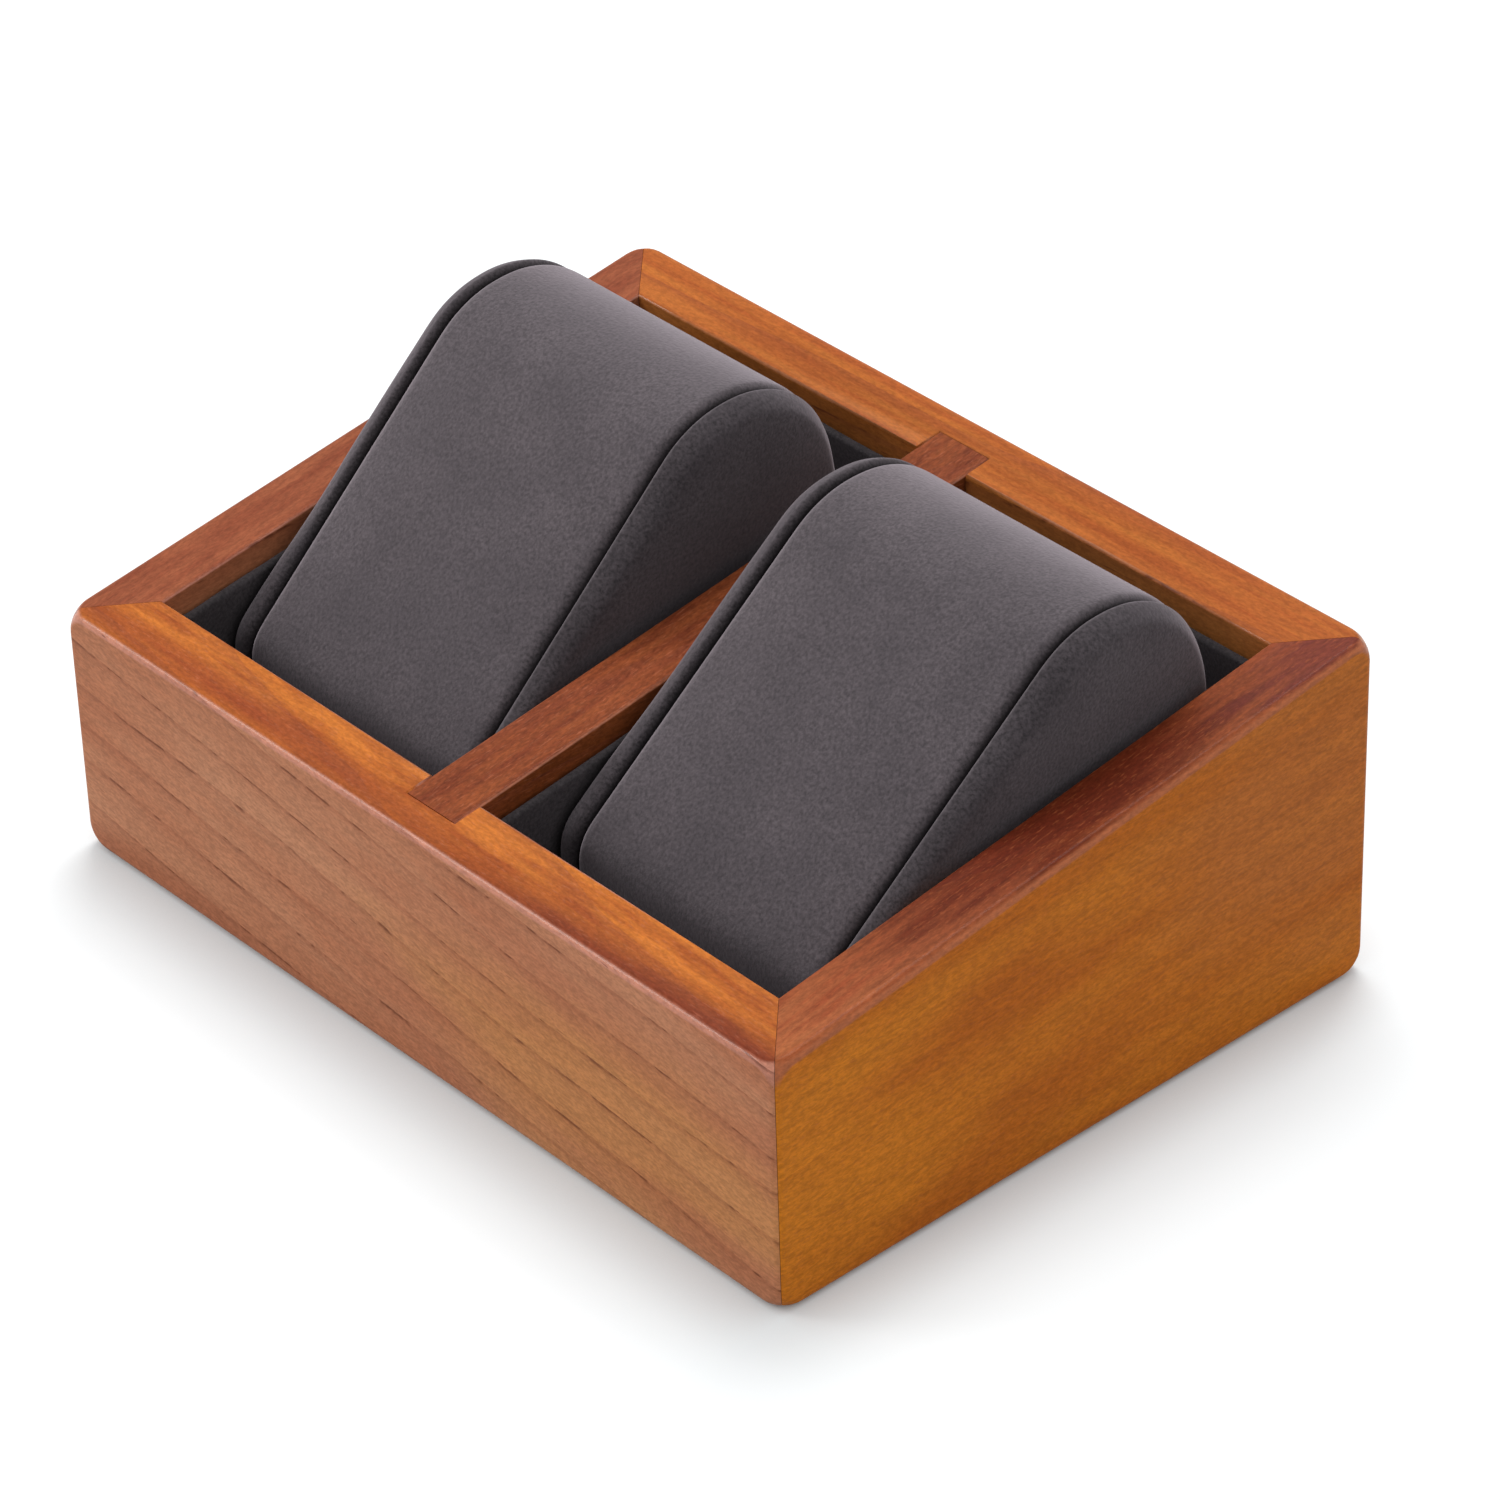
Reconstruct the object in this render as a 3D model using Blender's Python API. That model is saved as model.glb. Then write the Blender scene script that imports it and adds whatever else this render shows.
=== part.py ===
"""Two-place display stand: a mitred hardwood tray with a sloping rim and a centre divider.

Each compartment is lined with card covered in microsuede and holds one padded pillow, which is
a band between two end caps. The right pillow sits flat and the left one is tipped forward.
Metres, +Z up, +X along the front, +Y towards the back, origin at the middle of the underside.
"""

import math

import bmesh
import bpy
from mathutils import Matrix, Vector

# Tray: sizes over the wood, heights above the table
TRAY_LENGTH = 0.125
TRAY_DEPTH = 0.092
FRONT_HEIGHT = 0.034
BACK_HEIGHT = 0.047
WALL = 0.0084
EDGE_ROUNDING = 0.0011
CORNER_ROUNDING = 0.0032
RIM_ARRIS = 0.0004

# Divider, let into both rails
DIVIDER_THICKNESS = 0.0085
HOUSING_DEPTH = 0.0042

# Base, glued in between the walls, and the felt under it
BASE_THICKNESS = 0.004
FELT_THICKNESS = 0.0012
FELT_PROUD = 0.0003

# Lining: covered card, its top edge below the rim
LINING_THICKNESS = 0.0012
LINING_DROP = 0.003
LINING_EDGE_ROUNDING = 0.0005

# Pillow: the room in front of it and behind it, its side outline with the corners taken sharp, and
# the radius at each corner
PILLOW_FRONT_GAP = 0.0074
PILLOW_BACK_GAP = 0.0056
PILLOW_HEIGHT = 0.0512
PILLOW_FRONT_HEIGHT = 0.0212
PILLOW_TOP_FLAT = 0.0006
PILLOW_CAP_THICKNESS = 0.003
PILLOW_EDGE_ROUNDING = 0.0013
PILLOW_BOTTOM_RADIUS = 0.005
PILLOW_KNEE_RADIUS = 0.006
PILLOW_BROW_RADIUS = 0.015
PILLOW_BACK_RADIUS = 0.015
PILLOW_TILT = {"left": math.radians(5.0), "right": 0.0}

# Clearance left between two pieces that are glued or rest together
JOINT = 0.0003
# Extra size on a block before it is trimmed to the form
STOCK = 0.004

ROUNDING_STEPS = 3
ARC_STEP = math.radians(9.0)
SHARP_ANGLE = math.radians(35.0)
FLAT_ANGLE = math.radians(0.2)
SQUARE_ANGLE = math.radians(60.0)
ON_PLANE = 1e-6
# The most that an edge rounding takes of a slab, as a share of its thickness
MOST_ROUNDING = 0.45

# Finish: colour, roughness
WOOD_FRONT = ((0.40, 0.17, 0.095), 0.42)
WOOD_SIDE = ((0.40, 0.15, 0.035), 0.42)
WOOD_DIVIDER = ((0.31, 0.10, 0.048), 0.45)
BASE_PANEL = ((0.22, 0.13, 0.07), 0.8)
BASE_FELT = ((0.02, 0.018, 0.018), 0.95)
LINING = ((0.035, 0.031, 0.034), 0.95)
PILLOW = ((0.075, 0.068, 0.075), 0.95)

BASE_BOTTOM = FELT_THICKNESS + JOINT
BASE_TOP = BASE_BOTTOM + BASE_THICKNESS
LINING_BOTTOM = BASE_TOP + JOINT
LINING_TOP = LINING_BOTTOM + LINING_THICKNESS
PILLOW_BOTTOM = LINING_TOP + JOINT
CAVITY_SIDE = TRAY_LENGTH / 2 - WALL
CAVITY_FRONT = -TRAY_DEPTH / 2 + WALL
CAVITY_BACK = TRAY_DEPTH / 2 - WALL
PILLOW_FRONT = CAVITY_FRONT + JOINT + LINING_THICKNESS + PILLOW_FRONT_GAP
PILLOW_DEPTH = CAVITY_BACK - JOINT - LINING_THICKNESS - PILLOW_BACK_GAP - PILLOW_FRONT
RIM_SLOPE = (BACK_HEIGHT - FRONT_HEIGHT) / TRAY_DEPTH
# The inner faces of each compartment's walls, left and right
COMPARTMENTS = {
    "left": (-CAVITY_SIDE, -DIVIDER_THICKNESS / 2),
    "right": (DIVIDER_THICKNESS / 2, CAVITY_SIDE),
}


def clear_scene():
    for obj in list(bpy.data.objects):
        bpy.data.objects.remove(obj)


def new_collection(name):
    group = bpy.data.collections.new(name)
    bpy.context.scene.collection.children.link(group)
    return group


def block(low, high):
    """A box between two opposite corners."""
    low, high = Vector(low), Vector(high)
    size = Matrix.Diagonal((*(high - low), 1.0))
    bm = bmesh.new()
    bmesh.ops.create_cube(bm, size=1.0, matrix=Matrix.Translation((low + high) / 2) @ size)
    return bm


def saw(bm, point, normal):
    """Cuts away what lies on the normal's side of a plane, and closes the cut."""
    whole = bm.verts[:] + bm.edges[:] + bm.faces[:]
    cut = bmesh.ops.bisect_plane(bm, geom=whole, plane_co=point, plane_no=normal, clear_outer=True)
    edges = [item for item in cut["geom_cut"] if isinstance(item, bmesh.types.BMEdge)]
    bmesh.ops.holes_fill(bm, edges=edges)


def rim_plane(drop=0.0):
    """A point and the normal of the plane that the rim lies in, or of one that far below it."""
    point = Vector((0.0, -TRAY_DEPTH / 2, FRONT_HEIGHT - drop))
    return point, Vector((0.0, -RIM_SLOPE, 1.0)).normalized()


def above_rim(point, drop=0.0):
    """The signed distance of a point above the rim's plane, or above one that far below it."""
    origin, normal = rim_plane(drop)
    return (point - origin).dot(normal)


def top_edges(bm, drop=0.0):
    """The edges that lie in the rim's plane, or in one that far below it."""
    return [edge for edge in bm.edges if all(abs(above_rim(v.co, drop)) < ON_PLANE for v in edge.verts)]


def runs_along_y(edge):
    start, end = (vertex.co for vertex in edge.verts)
    return abs(end.y - start.y) > abs(end.x - start.x)


def round_edges(bm, edges, radius):
    bmesh.ops.bevel(
        bm,
        geom=edges,
        offset=radius,
        offset_type="OFFSET",
        segments=ROUNDING_STEPS,
        profile=0.5,
        affect="EDGES",
        clamp_overlap=True,
    )


def to_mesh(bm, name):
    bmesh.ops.recalc_face_normals(bm, faces=bm.faces[:])
    mesh = bpy.data.meshes.new(name)
    bm.to_mesh(mesh)
    bm.free()
    mesh.shade_smooth()
    mesh.set_sharp_from_angle(angle=SHARP_ANGLE)
    return mesh


def new_material(name, finish):
    colour, roughness = finish
    material = bpy.data.materials.new(name)
    material.use_nodes = True
    shader = material.node_tree.nodes["Principled BSDF"]
    shader.inputs["Base Color"].default_value = (*colour, 1.0)
    shader.inputs["Roughness"].default_value = roughness
    shader.inputs["Metallic"].default_value = 0.0
    return material


def add_piece(group, name, data, finish):
    """A visible sub-part with its own material."""
    obj = bpy.data.objects.new(name, data)
    obj.data.materials.append(new_material(f"{name}_finish", finish))
    group.objects.link(obj)
    return obj


def add_helper(group, name, data):
    """A cutter or a form, which isn't part of the object."""
    obj = bpy.data.objects.new(name, data)
    obj.hide_render = True
    obj.display_type = "WIRE"
    group.objects.link(obj)
    return obj


def add_boolean(obj, operation, other):
    modifier = obj.modifiers.new(f"{operation.lower()}_{other.name}", "BOOLEAN")
    modifier.operation = operation
    modifier.object = other


def corner_directions(normals):
    """Directions spread over a corner between three faces, from their outward normals."""
    directions = []
    for first in range(ROUNDING_STEPS + 1):
        for second in range(ROUNDING_STEPS + 1 - first):
            third = ROUNDING_STEPS - first - second
            mixed = first * normals[0] + second * normals[1] + third * normals[2]
            directions.append(mixed.normalized())
    return directions


def corner_points(x_side, y_side, on_rim):
    """Points on one softened outer corner: the edges' rounding, run round the corner of each face."""
    up = Vector((0.0, 0.0, 1.0))
    rim_normal = rim_plane()[1]
    reach_x, reach_y = TRAY_LENGTH / 2 - EDGE_ROUNDING, TRAY_DEPTH / 2 - EDGE_ROUNDING
    corner = Vector((x_side * reach_x, y_side * reach_y, 0.0))
    if on_rim:
        top_normal, rise = rim_normal, RIM_SLOPE
        corner.z = -(above_rim(corner) + EDGE_ROUNDING) / rim_normal.z
    else:
        top_normal, rise = -up, 0.0
        corner.z = FELT_PROUD + EDGE_ROUNDING
    along_x = Vector((-x_side, 0.0, 0.0))
    along_y = Vector((0.0, -y_side, -y_side * rise)).normalized()
    along_z = -up if on_rim else up
    directions = corner_directions((Vector((x_side, 0.0, 0.0)), Vector((0.0, y_side, 0.0)), top_normal))
    set_back = CORNER_ROUNDING - EDGE_ROUNDING
    points = []
    for first, second in ((along_x, along_y), (along_y, along_z), (along_z, along_x)):
        for step in range(ROUNDING_STEPS):
            turn = math.pi / 2 * step / ROUNDING_STEPS
            inwards = first * (1.0 - math.cos(turn)) + second * (1.0 - math.sin(turn))
            points += [corner + inwards * set_back + direction * EDGE_ROUNDING for direction in directions]
    return points


def outside_form():
    """The tray's outside, with the sloping rim, rounded edges and softened corners."""
    bm = bmesh.new()
    for x_side in (-1, 1):
        for y_side in (-1, 1):
            for on_rim in (False, True):
                for point in corner_points(x_side, y_side, on_rim):
                    bm.verts.new(point)
    hull = bmesh.ops.convex_hull(bm, input=bm.verts[:])
    covered = [item for item in hull["geom_interior"] if isinstance(item, bmesh.types.BMVert)]
    bmesh.ops.delete(bm, geom=covered, context="VERTS")
    bmesh.ops.dissolve_limit(bm, angle_limit=FLAT_ANGLE, verts=bm.verts[:], edges=bm.edges[:])
    return bm


def is_square(edge):
    return edge.calc_face_angle() > SQUARE_ANGLE


def tray_form(helpers):
    """The four walls as one sanded form, which every wall board is cut from."""
    form = add_helper(helpers, "tray_form", to_mesh(outside_form(), "tray_form"))
    low = (-CAVITY_SIDE, CAVITY_FRONT, FELT_PROUD - STOCK)
    high = (CAVITY_SIDE, CAVITY_BACK, BACK_HEIGHT + STOCK)
    add_boolean(form, "DIFFERENCE", add_helper(helpers, "cavity", to_mesh(block(low, high), "cavity")))
    bpy.context.view_layer.update()
    carved = form.evaluated_get(bpy.context.evaluated_depsgraph_get())
    bm = bmesh.new()
    bm.from_mesh(carved.to_mesh())
    carved.to_mesh_clear()
    round_edges(bm, [edge for edge in top_edges(bm) if is_square(edge)], RIM_ARRIS)
    form.modifiers.clear()
    form.data = to_mesh(bm, "tray_form_carved")
    return form


def rail_block(direction):
    """Stock for the front (-1) or back (+1) rail, mitred at both ends."""
    outer = TRAY_DEPTH / 2
    faces = sorted((direction * (outer - WALL - STOCK), direction * (outer + STOCK)))
    reach = TRAY_LENGTH / 2 + STOCK
    bm = block((-reach, faces[0], FELT_PROUD - STOCK), (reach, faces[1], BACK_HEIGHT + STOCK))
    for end in (-1, 1):
        normal = Vector((end, -direction, 0.0)).normalized()
        corner = Vector((end * TRAY_LENGTH / 2, direction * outer, 0.0))
        saw(bm, corner - normal * JOINT / 2, normal)
    return bm


def side_block(direction):
    """Stock for the left (-1) or right (+1) side, mitred at both ends."""
    outer = TRAY_LENGTH / 2
    faces = sorted((direction * (outer - WALL - STOCK), direction * (outer + STOCK)))
    reach = TRAY_DEPTH / 2 + STOCK
    bm = block((faces[0], -reach, FELT_PROUD - STOCK), (faces[1], reach, BACK_HEIGHT + STOCK))
    for end in (-1, 1):
        normal = Vector((-direction, end, 0.0)).normalized()
        corner = Vector((direction * outer, end * TRAY_DEPTH / 2, 0.0))
        saw(bm, corner - normal * JOINT / 2, normal)
    return bm


def divider_board(end):
    """The divider, which reaches as far as its housings, its top edges eased along its length."""
    half = DIVIDER_THICKNESS / 2
    bm = block((-half, -end, BASE_TOP + JOINT), (half, end, BACK_HEIGHT + STOCK))
    saw(bm, *rim_plane())
    round_edges(bm, [edge for edge in top_edges(bm) if runs_along_y(edge)], RIM_ARRIS)
    return to_mesh(bm, "divider")


def build_tray(parts, helpers):
    form = tray_form(helpers)
    housing_half = DIVIDER_THICKNESS / 2 + JOINT
    housing_end = CAVITY_BACK + HOUSING_DEPTH
    housing_block = block(
        (-housing_half, -housing_end, BASE_TOP),
        (housing_half, housing_end, BACK_HEIGHT + 2 * STOCK),
    )
    housing = add_helper(helpers, "divider_housing", to_mesh(housing_block, "divider_housing"))
    for name, direction in (("front_rail", -1), ("back_rail", 1)):
        rail = add_piece(parts, name, to_mesh(rail_block(direction), name), WOOD_FRONT)
        add_boolean(rail, "INTERSECT", form)
        add_boolean(rail, "DIFFERENCE", housing)
    for name, direction in (("left_side", -1), ("right_side", 1)):
        side = add_piece(parts, name, to_mesh(side_block(direction), name), WOOD_SIDE)
        add_boolean(side, "INTERSECT", form)
    add_piece(parts, "divider", divider_board(housing_end - JOINT), WOOD_DIVIDER)


def panel(low, high):
    """A flat rectangular panel."""
    return to_mesh(block(low, high), "panel")


def build_base(parts):
    reach = CAVITY_SIDE - JOINT
    front, back = CAVITY_FRONT + JOINT, CAVITY_BACK - JOINT
    base = panel((-reach, front, BASE_BOTTOM), (reach, back, BASE_TOP))
    felt = panel((-reach, front, 0.0), (reach, back, FELT_THICKNESS))
    add_piece(parts, "base_board", base, BASE_PANEL)
    add_piece(parts, "bottom_felt", felt, BASE_FELT)


def lining_wall(low, high):
    """A lining panel that stands on the lining's floor, its soft top edge along the rim's slope."""
    bm = block((*low, LINING_TOP + JOINT), (*high, BACK_HEIGHT))
    saw(bm, *rim_plane(LINING_DROP))
    round_edges(bm, top_edges(bm, LINING_DROP), LINING_EDGE_ROUNDING)
    return to_mesh(bm, "lining_wall")


def build_lining(parts, side):
    left, right = (COMPARTMENTS[side][0] + JOINT, COMPARTMENTS[side][1] - JOINT)
    front, back = CAVITY_FRONT + JOINT, CAVITY_BACK - JOINT
    inner_front, inner_back = front + LINING_THICKNESS, back - LINING_THICKNESS
    floor = panel((left, front, LINING_BOTTOM), (right, back, LINING_TOP))
    add_piece(parts, f"{side}_lining_floor", floor, LINING)
    walls = {
        "front": ((left, front), (right, inner_front)),
        "back": ((left, inner_back), (right, back)),
        "left": ((left, inner_front + JOINT), (left + LINING_THICKNESS, inner_back - JOINT)),
        "right": ((right - LINING_THICKNESS, inner_front + JOINT), (right, inner_back - JOINT)),
    }
    for place, (low, high) in walls.items():
        add_piece(parts, f"{side}_lining_{place}", lining_wall(low, high), LINING)


def rounded_outline(corners):
    """The points of a closed anticlockwise outline, from its sharp corners and their radii."""
    points = []
    for index, (corner, radius) in enumerate(corners):
        corner = Vector(corner)
        to_last = (Vector(corners[index - 1][0]) - corner).normalized()
        to_next = (Vector(corners[(index + 1) % len(corners)][0]) - corner).normalized()
        turn = math.pi - to_last.angle(to_next)
        centre = corner + (to_last + to_next).normalized() * radius / math.cos(turn / 2)
        start = corner + to_last * radius * math.tan(turn / 2) - centre
        steps = max(2, math.ceil(turn / ARC_STEP))
        for step in range(steps + 1):
            points.append(centre + Matrix.Rotation(turn * step / steps, 2) @ start)
    return points


def brow_depth():
    """How far behind the pillow's front the slope meets the top, with the slope tangent to the brow."""
    to_centre = Vector(
        (
            PILLOW_DEPTH - PILLOW_BACK_RADIUS - PILLOW_TOP_FLAT,
            PILLOW_HEIGHT - PILLOW_BROW_RADIUS - PILLOW_FRONT_HEIGHT,
        )
    )
    rise = math.atan2(to_centre.y, to_centre.x) + math.asin(PILLOW_BROW_RADIUS / to_centre.length)
    return (PILLOW_HEIGHT - PILLOW_FRONT_HEIGHT) / math.tan(rise)


def pillow_outline():
    """The pillow from its right side, depth against height, from the axis that it tips about."""
    bottom_corner = Vector((-PILLOW_BOTTOM_RADIUS, -PILLOW_BOTTOM_RADIUS))
    corners = (
        ((0.0, 0.0), PILLOW_BOTTOM_RADIUS),
        ((PILLOW_DEPTH, 0.0), PILLOW_BOTTOM_RADIUS),
        ((PILLOW_DEPTH, PILLOW_HEIGHT), PILLOW_BACK_RADIUS),
        ((brow_depth(), PILLOW_HEIGHT), PILLOW_BROW_RADIUS),
        ((0.0, PILLOW_FRONT_HEIGHT), PILLOW_KNEE_RADIUS),
    )
    return rounded_outline([(bottom_corner + Vector(corner), radius) for corner, radius in corners])


def padded_slab(name, thickness):
    """A slab of the pillow's outline with softly rounded edges, centred on its thickness."""
    rounding = min(PILLOW_EDGE_ROUNDING, MOST_ROUNDING * thickness)
    curve = bpy.data.curves.new(name, "CURVE")
    curve.dimensions = "2D"
    curve.fill_mode = "BOTH"
    curve.extrude = thickness / 2 - rounding
    curve.bevel_depth = rounding
    curve.bevel_resolution = ROUNDING_STEPS
    curve.offset = -rounding
    outline = pillow_outline()
    spline = curve.splines.new("POLY")
    spline.points.add(len(outline) - 1)
    for point, place in zip(spline.points, outline):
        point.co = (place.x, place.y, 0.0, 1.0)
    spline.use_cyclic_u = True
    return curve


def build_pillow(parts, side):
    """A band and two end caps on one axis, which runs inside the pillow's lower front edge."""
    left, right = COMPARTMENTS[side]
    clear = JOINT + LINING_THICKNESS + JOINT
    width = right - left - 2 * clear
    axis = bpy.data.objects.new(f"{side}_pillow_axis", None)
    axis.location = (
        (left + right) / 2,
        PILLOW_FRONT + PILLOW_BOTTOM_RADIUS,
        PILLOW_BOTTOM + PILLOW_BOTTOM_RADIUS,
    )
    axis.rotation_euler.x = PILLOW_TILT[side]
    parts.objects.link(axis)
    band_width = width - 2 * (PILLOW_CAP_THICKNESS + JOINT)
    cap_place = (width - PILLOW_CAP_THICKNESS) / 2
    slabs = (
        ("band", band_width, 0.0),
        ("left_cap", PILLOW_CAP_THICKNESS, -cap_place),
        ("right_cap", PILLOW_CAP_THICKNESS, cap_place),
    )
    for piece, thickness, place in slabs:
        name = f"{side}_pillow_{piece}"
        slab = add_piece(parts, name, padded_slab(name, thickness), PILLOW)
        slab.parent = axis
        slab.location.x = place
        slab.rotation_euler = (math.radians(90.0), 0.0, math.radians(90.0))


def main():
    clear_scene()
    parts = new_collection("display_stand")
    helpers = new_collection("cutters")
    build_tray(parts, helpers)
    build_base(parts)
    for side in COMPARTMENTS:
        build_lining(parts, side)
        build_pillow(parts, side)


main()
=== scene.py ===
"""Looks of the two-place display stand: a stained wood tray, its microsuede lining and two pillows.

Everything is in metres in the CAD frame: +X along the front, +Y to the back, +Z up.
"""

import logging
import math
from collections.abc import Callable, Sequence
from dataclasses import dataclass
from enum import Enum
from functools import partial
from itertools import product

import bmesh
import bpy
from bmesh.types import BMEdge, BMesh, BMVert
from bpy.types import Material, Mesh, Node, NodeSocket, NodeTree, Object
from mathutils import Euler, Matrix, Vector, noise


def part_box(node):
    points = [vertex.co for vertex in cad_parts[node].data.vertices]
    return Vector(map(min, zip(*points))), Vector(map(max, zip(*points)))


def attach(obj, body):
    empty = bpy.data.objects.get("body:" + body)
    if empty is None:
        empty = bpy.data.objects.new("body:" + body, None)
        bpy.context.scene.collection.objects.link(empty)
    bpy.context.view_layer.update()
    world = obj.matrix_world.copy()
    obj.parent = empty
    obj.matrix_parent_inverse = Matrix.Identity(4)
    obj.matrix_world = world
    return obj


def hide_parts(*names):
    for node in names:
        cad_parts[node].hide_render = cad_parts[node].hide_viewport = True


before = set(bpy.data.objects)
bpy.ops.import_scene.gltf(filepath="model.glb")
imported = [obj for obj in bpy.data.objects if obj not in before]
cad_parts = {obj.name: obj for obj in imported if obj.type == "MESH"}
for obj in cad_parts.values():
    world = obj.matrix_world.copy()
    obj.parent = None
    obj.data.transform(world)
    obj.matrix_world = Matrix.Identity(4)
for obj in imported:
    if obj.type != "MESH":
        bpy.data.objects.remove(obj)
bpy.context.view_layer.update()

LOG = logging.getLogger("display_stand")
MM = 0.001
TINY = 1e-6

# Tray: the sizes that the nodes' boxes don't give by themselves
FRONT_HEIGHT = 34.0 * MM
BACK_HEIGHT = 47.0 * MM
EDGE_ROUNDING = 1.1 * MM
CORNER_SOFTENING = 3.2 * MM
INNER_ARRIS = 0.4 * MM
HAIRLINE = 0.05 * MM
HOUSING_GAP = 0.12 * MM
LINING_DROP = 3.0 * MM
FLAT_ANGLE = math.radians(0.2)
SHARP_ANGLE = 40.0
WELL_ABOVE_RIM = 2 * BACK_HEIGHT

# Pads: the rings of a cap's face from its middle to its rim, and the part of the rounding that the
# seam holds
CAP_RINGS = (0.12, 0.3, 0.48, 0.64, 0.78, 0.89, 0.96)
HELD_BY_SEAM = 0.7
PAD_SHARP_ANGLE = 80.0
ARC_TURN = math.radians(4.0)
LEFT_TILT = math.radians(5.0)
# How far a pad may swell inside the lining and how much more above it, in millimetres, and the
# height over which that changes
CAP_SWELLING = (0.1, 1.2)
BAND_SWELLING = (0.25, 0.35)
LINING_CLEARED = 7.0 * MM


class Grain(Enum):
    """Which way a board's grain runs."""

    ALONG_X = 0.0
    ALONG_Y = 90.0


class Wall(Enum):
    """The tray's four wall boards by their nodes' names, with the way that each faces."""

    FRONT_RAIL = (0.0, -1.0, 0.0)
    BACK_RAIL = (0.0, 1.0, 0.0)
    LEFT_SIDE = (-1.0, 0.0, 0.0)
    RIGHT_SIDE = (1.0, 0.0, 0.0)


class Pad(Enum):
    """The three pads of a pillow, by the side that each is on."""

    BAND = 0
    LEFT_CAP = -1
    RIGHT_CAP = 1


def linear(colour: str) -> tuple[float, float, float, float]:
    """Turns an sRGB hex colour into linear RGBA.

    Args:
        colour: The colour as #rrggbb.

    Returns:
        Red, green, blue and alpha, linear.
    """
    channels = [int(colour[place : place + 2], 16) / 255 for place in (1, 3, 5)]
    red, green, blue = [c / 12.92 if c <= 0.04045 else ((c + 0.055) / 1.055) ** 2.4 for c in channels]
    return (red, green, blue, 1.0)


def add_node(
    tree: NodeTree,
    kind: str,
    inputs: dict | None = None,
    stops: Sequence[tuple[float, str]] = (),
    **settings: object,
) -> Node:
    """Adds one shader node with its settings and links.

    Args:
        tree: The node tree it goes into.
        kind: Blender's name of the node's type, after "ShaderNode".
        inputs: Each input by name or number, with a value, with the socket that feeds it, or with
            the node whose first output in use does.
        stops: For a colour ramp, its two places and sRGB hex colours.
        **settings: The node's own properties.

    Returns:
        The new node.
    """
    node = tree.nodes.new(f"ShaderNode{kind}")
    for name, value in settings.items():
        setattr(node, name, value)
    for key, value in (inputs or {}).items():
        if isinstance(value, Node):
            value = next(socket for socket in value.outputs if socket.enabled)
        if isinstance(value, NodeSocket):
            tree.links.new(value, node.inputs[key])
        else:
            node.inputs[key].default_value = value
    if stops:
        for element, (place, colour) in zip(node.color_ramp.elements, stops):
            element.position = place
            element.color = linear(colour)
    return node


@dataclass(frozen=True)
class Finish:
    """A surface that can be built as a material."""

    name: str

    def build(self) -> Material:
        """Makes the material.

        Returns:
            The finished material.
        """
        material = bpy.data.materials.new(self.name)
        material.use_nodes = True
        tree = material.node_tree
        tree.nodes.clear()
        add_node(tree, "OutputMaterial", {"Surface": self.surface(tree)})
        return material

    def surface(self, tree: NodeTree) -> Node:
        """Makes the material's shader.

        Args:
            tree: The material's node tree.

        Returns:
            The shader's node.
        """
        raise NotImplementedError


@dataclass(frozen=True)
class Fleck:
    """A pattern of flecks along the grain, with sizes in millimetres."""

    length: float
    width: float
    detail: float = 3.0
    roughness: float = 0.5
    start: float = 0.0
    full: float = 1.0


# A broad face shows wide drifts, and an edge the same growth close together, as streaks
FACE_DRIFT = Fleck(length=40.0, width=9.0)
EDGE_DRIFT = Fleck(length=40.0, width=1.5)
FIBRE = Fleck(length=0.9, width=0.36, detail=2.0, roughness=0.7)
FIGURE = Fleck(length=6.0, width=0.6, roughness=0.6)
DASH = Fleck(length=4.5, width=1.7, roughness=0.65, start=0.51, full=0.62)
LOOSE_PORE = Fleck(length=3.0, width=0.3, detail=1.0, start=0.7, full=0.82)
# Painted glints: fine pale flecks along the grain that stand in for glints of light off the pores
GLINT = Fleck(length=1.8, width=0.24, detail=2.0, roughness=0.6, start=0.56, full=0.7)
# Where in a year the darker band, its line and the line's porous core begin and are full
PARTS_OF_YEAR = ((0.3, 0.95), (0.8, 0.96), (0.91, 0.97))
# How far a surface turns up where the rounded arris and the upper edge begin and are reached
ARRIS_AND_EDGE = ((0.04, 0.4), (0.6, 0.93))
PORES_LEFT_ON_EDGE = 0.25
# A pore's depth against the fibre's relief, and the lacquer's thin coat and change of roughness
PORE_DEPTH = 0.8
THIN_COAT = 0.04
ROUGHNESS_CHANGE = 0.06
# How slowly the growth changes along the grain, and how far a pool's outline wanders
CHANGE_ALONG_GRAIN = 0.12
POOL_WANDER = 1.2


@dataclass(frozen=True)
class StainAndShadePool:
    """A soft-edged patch of a board in another tone, in millimetres: the stain taken differently, and on
    the right side's upper edge partly painted shade.
    """

    place: tuple[float, float, float]
    reach: tuple[float, float, float]
    colour: str
    strength: float


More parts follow.
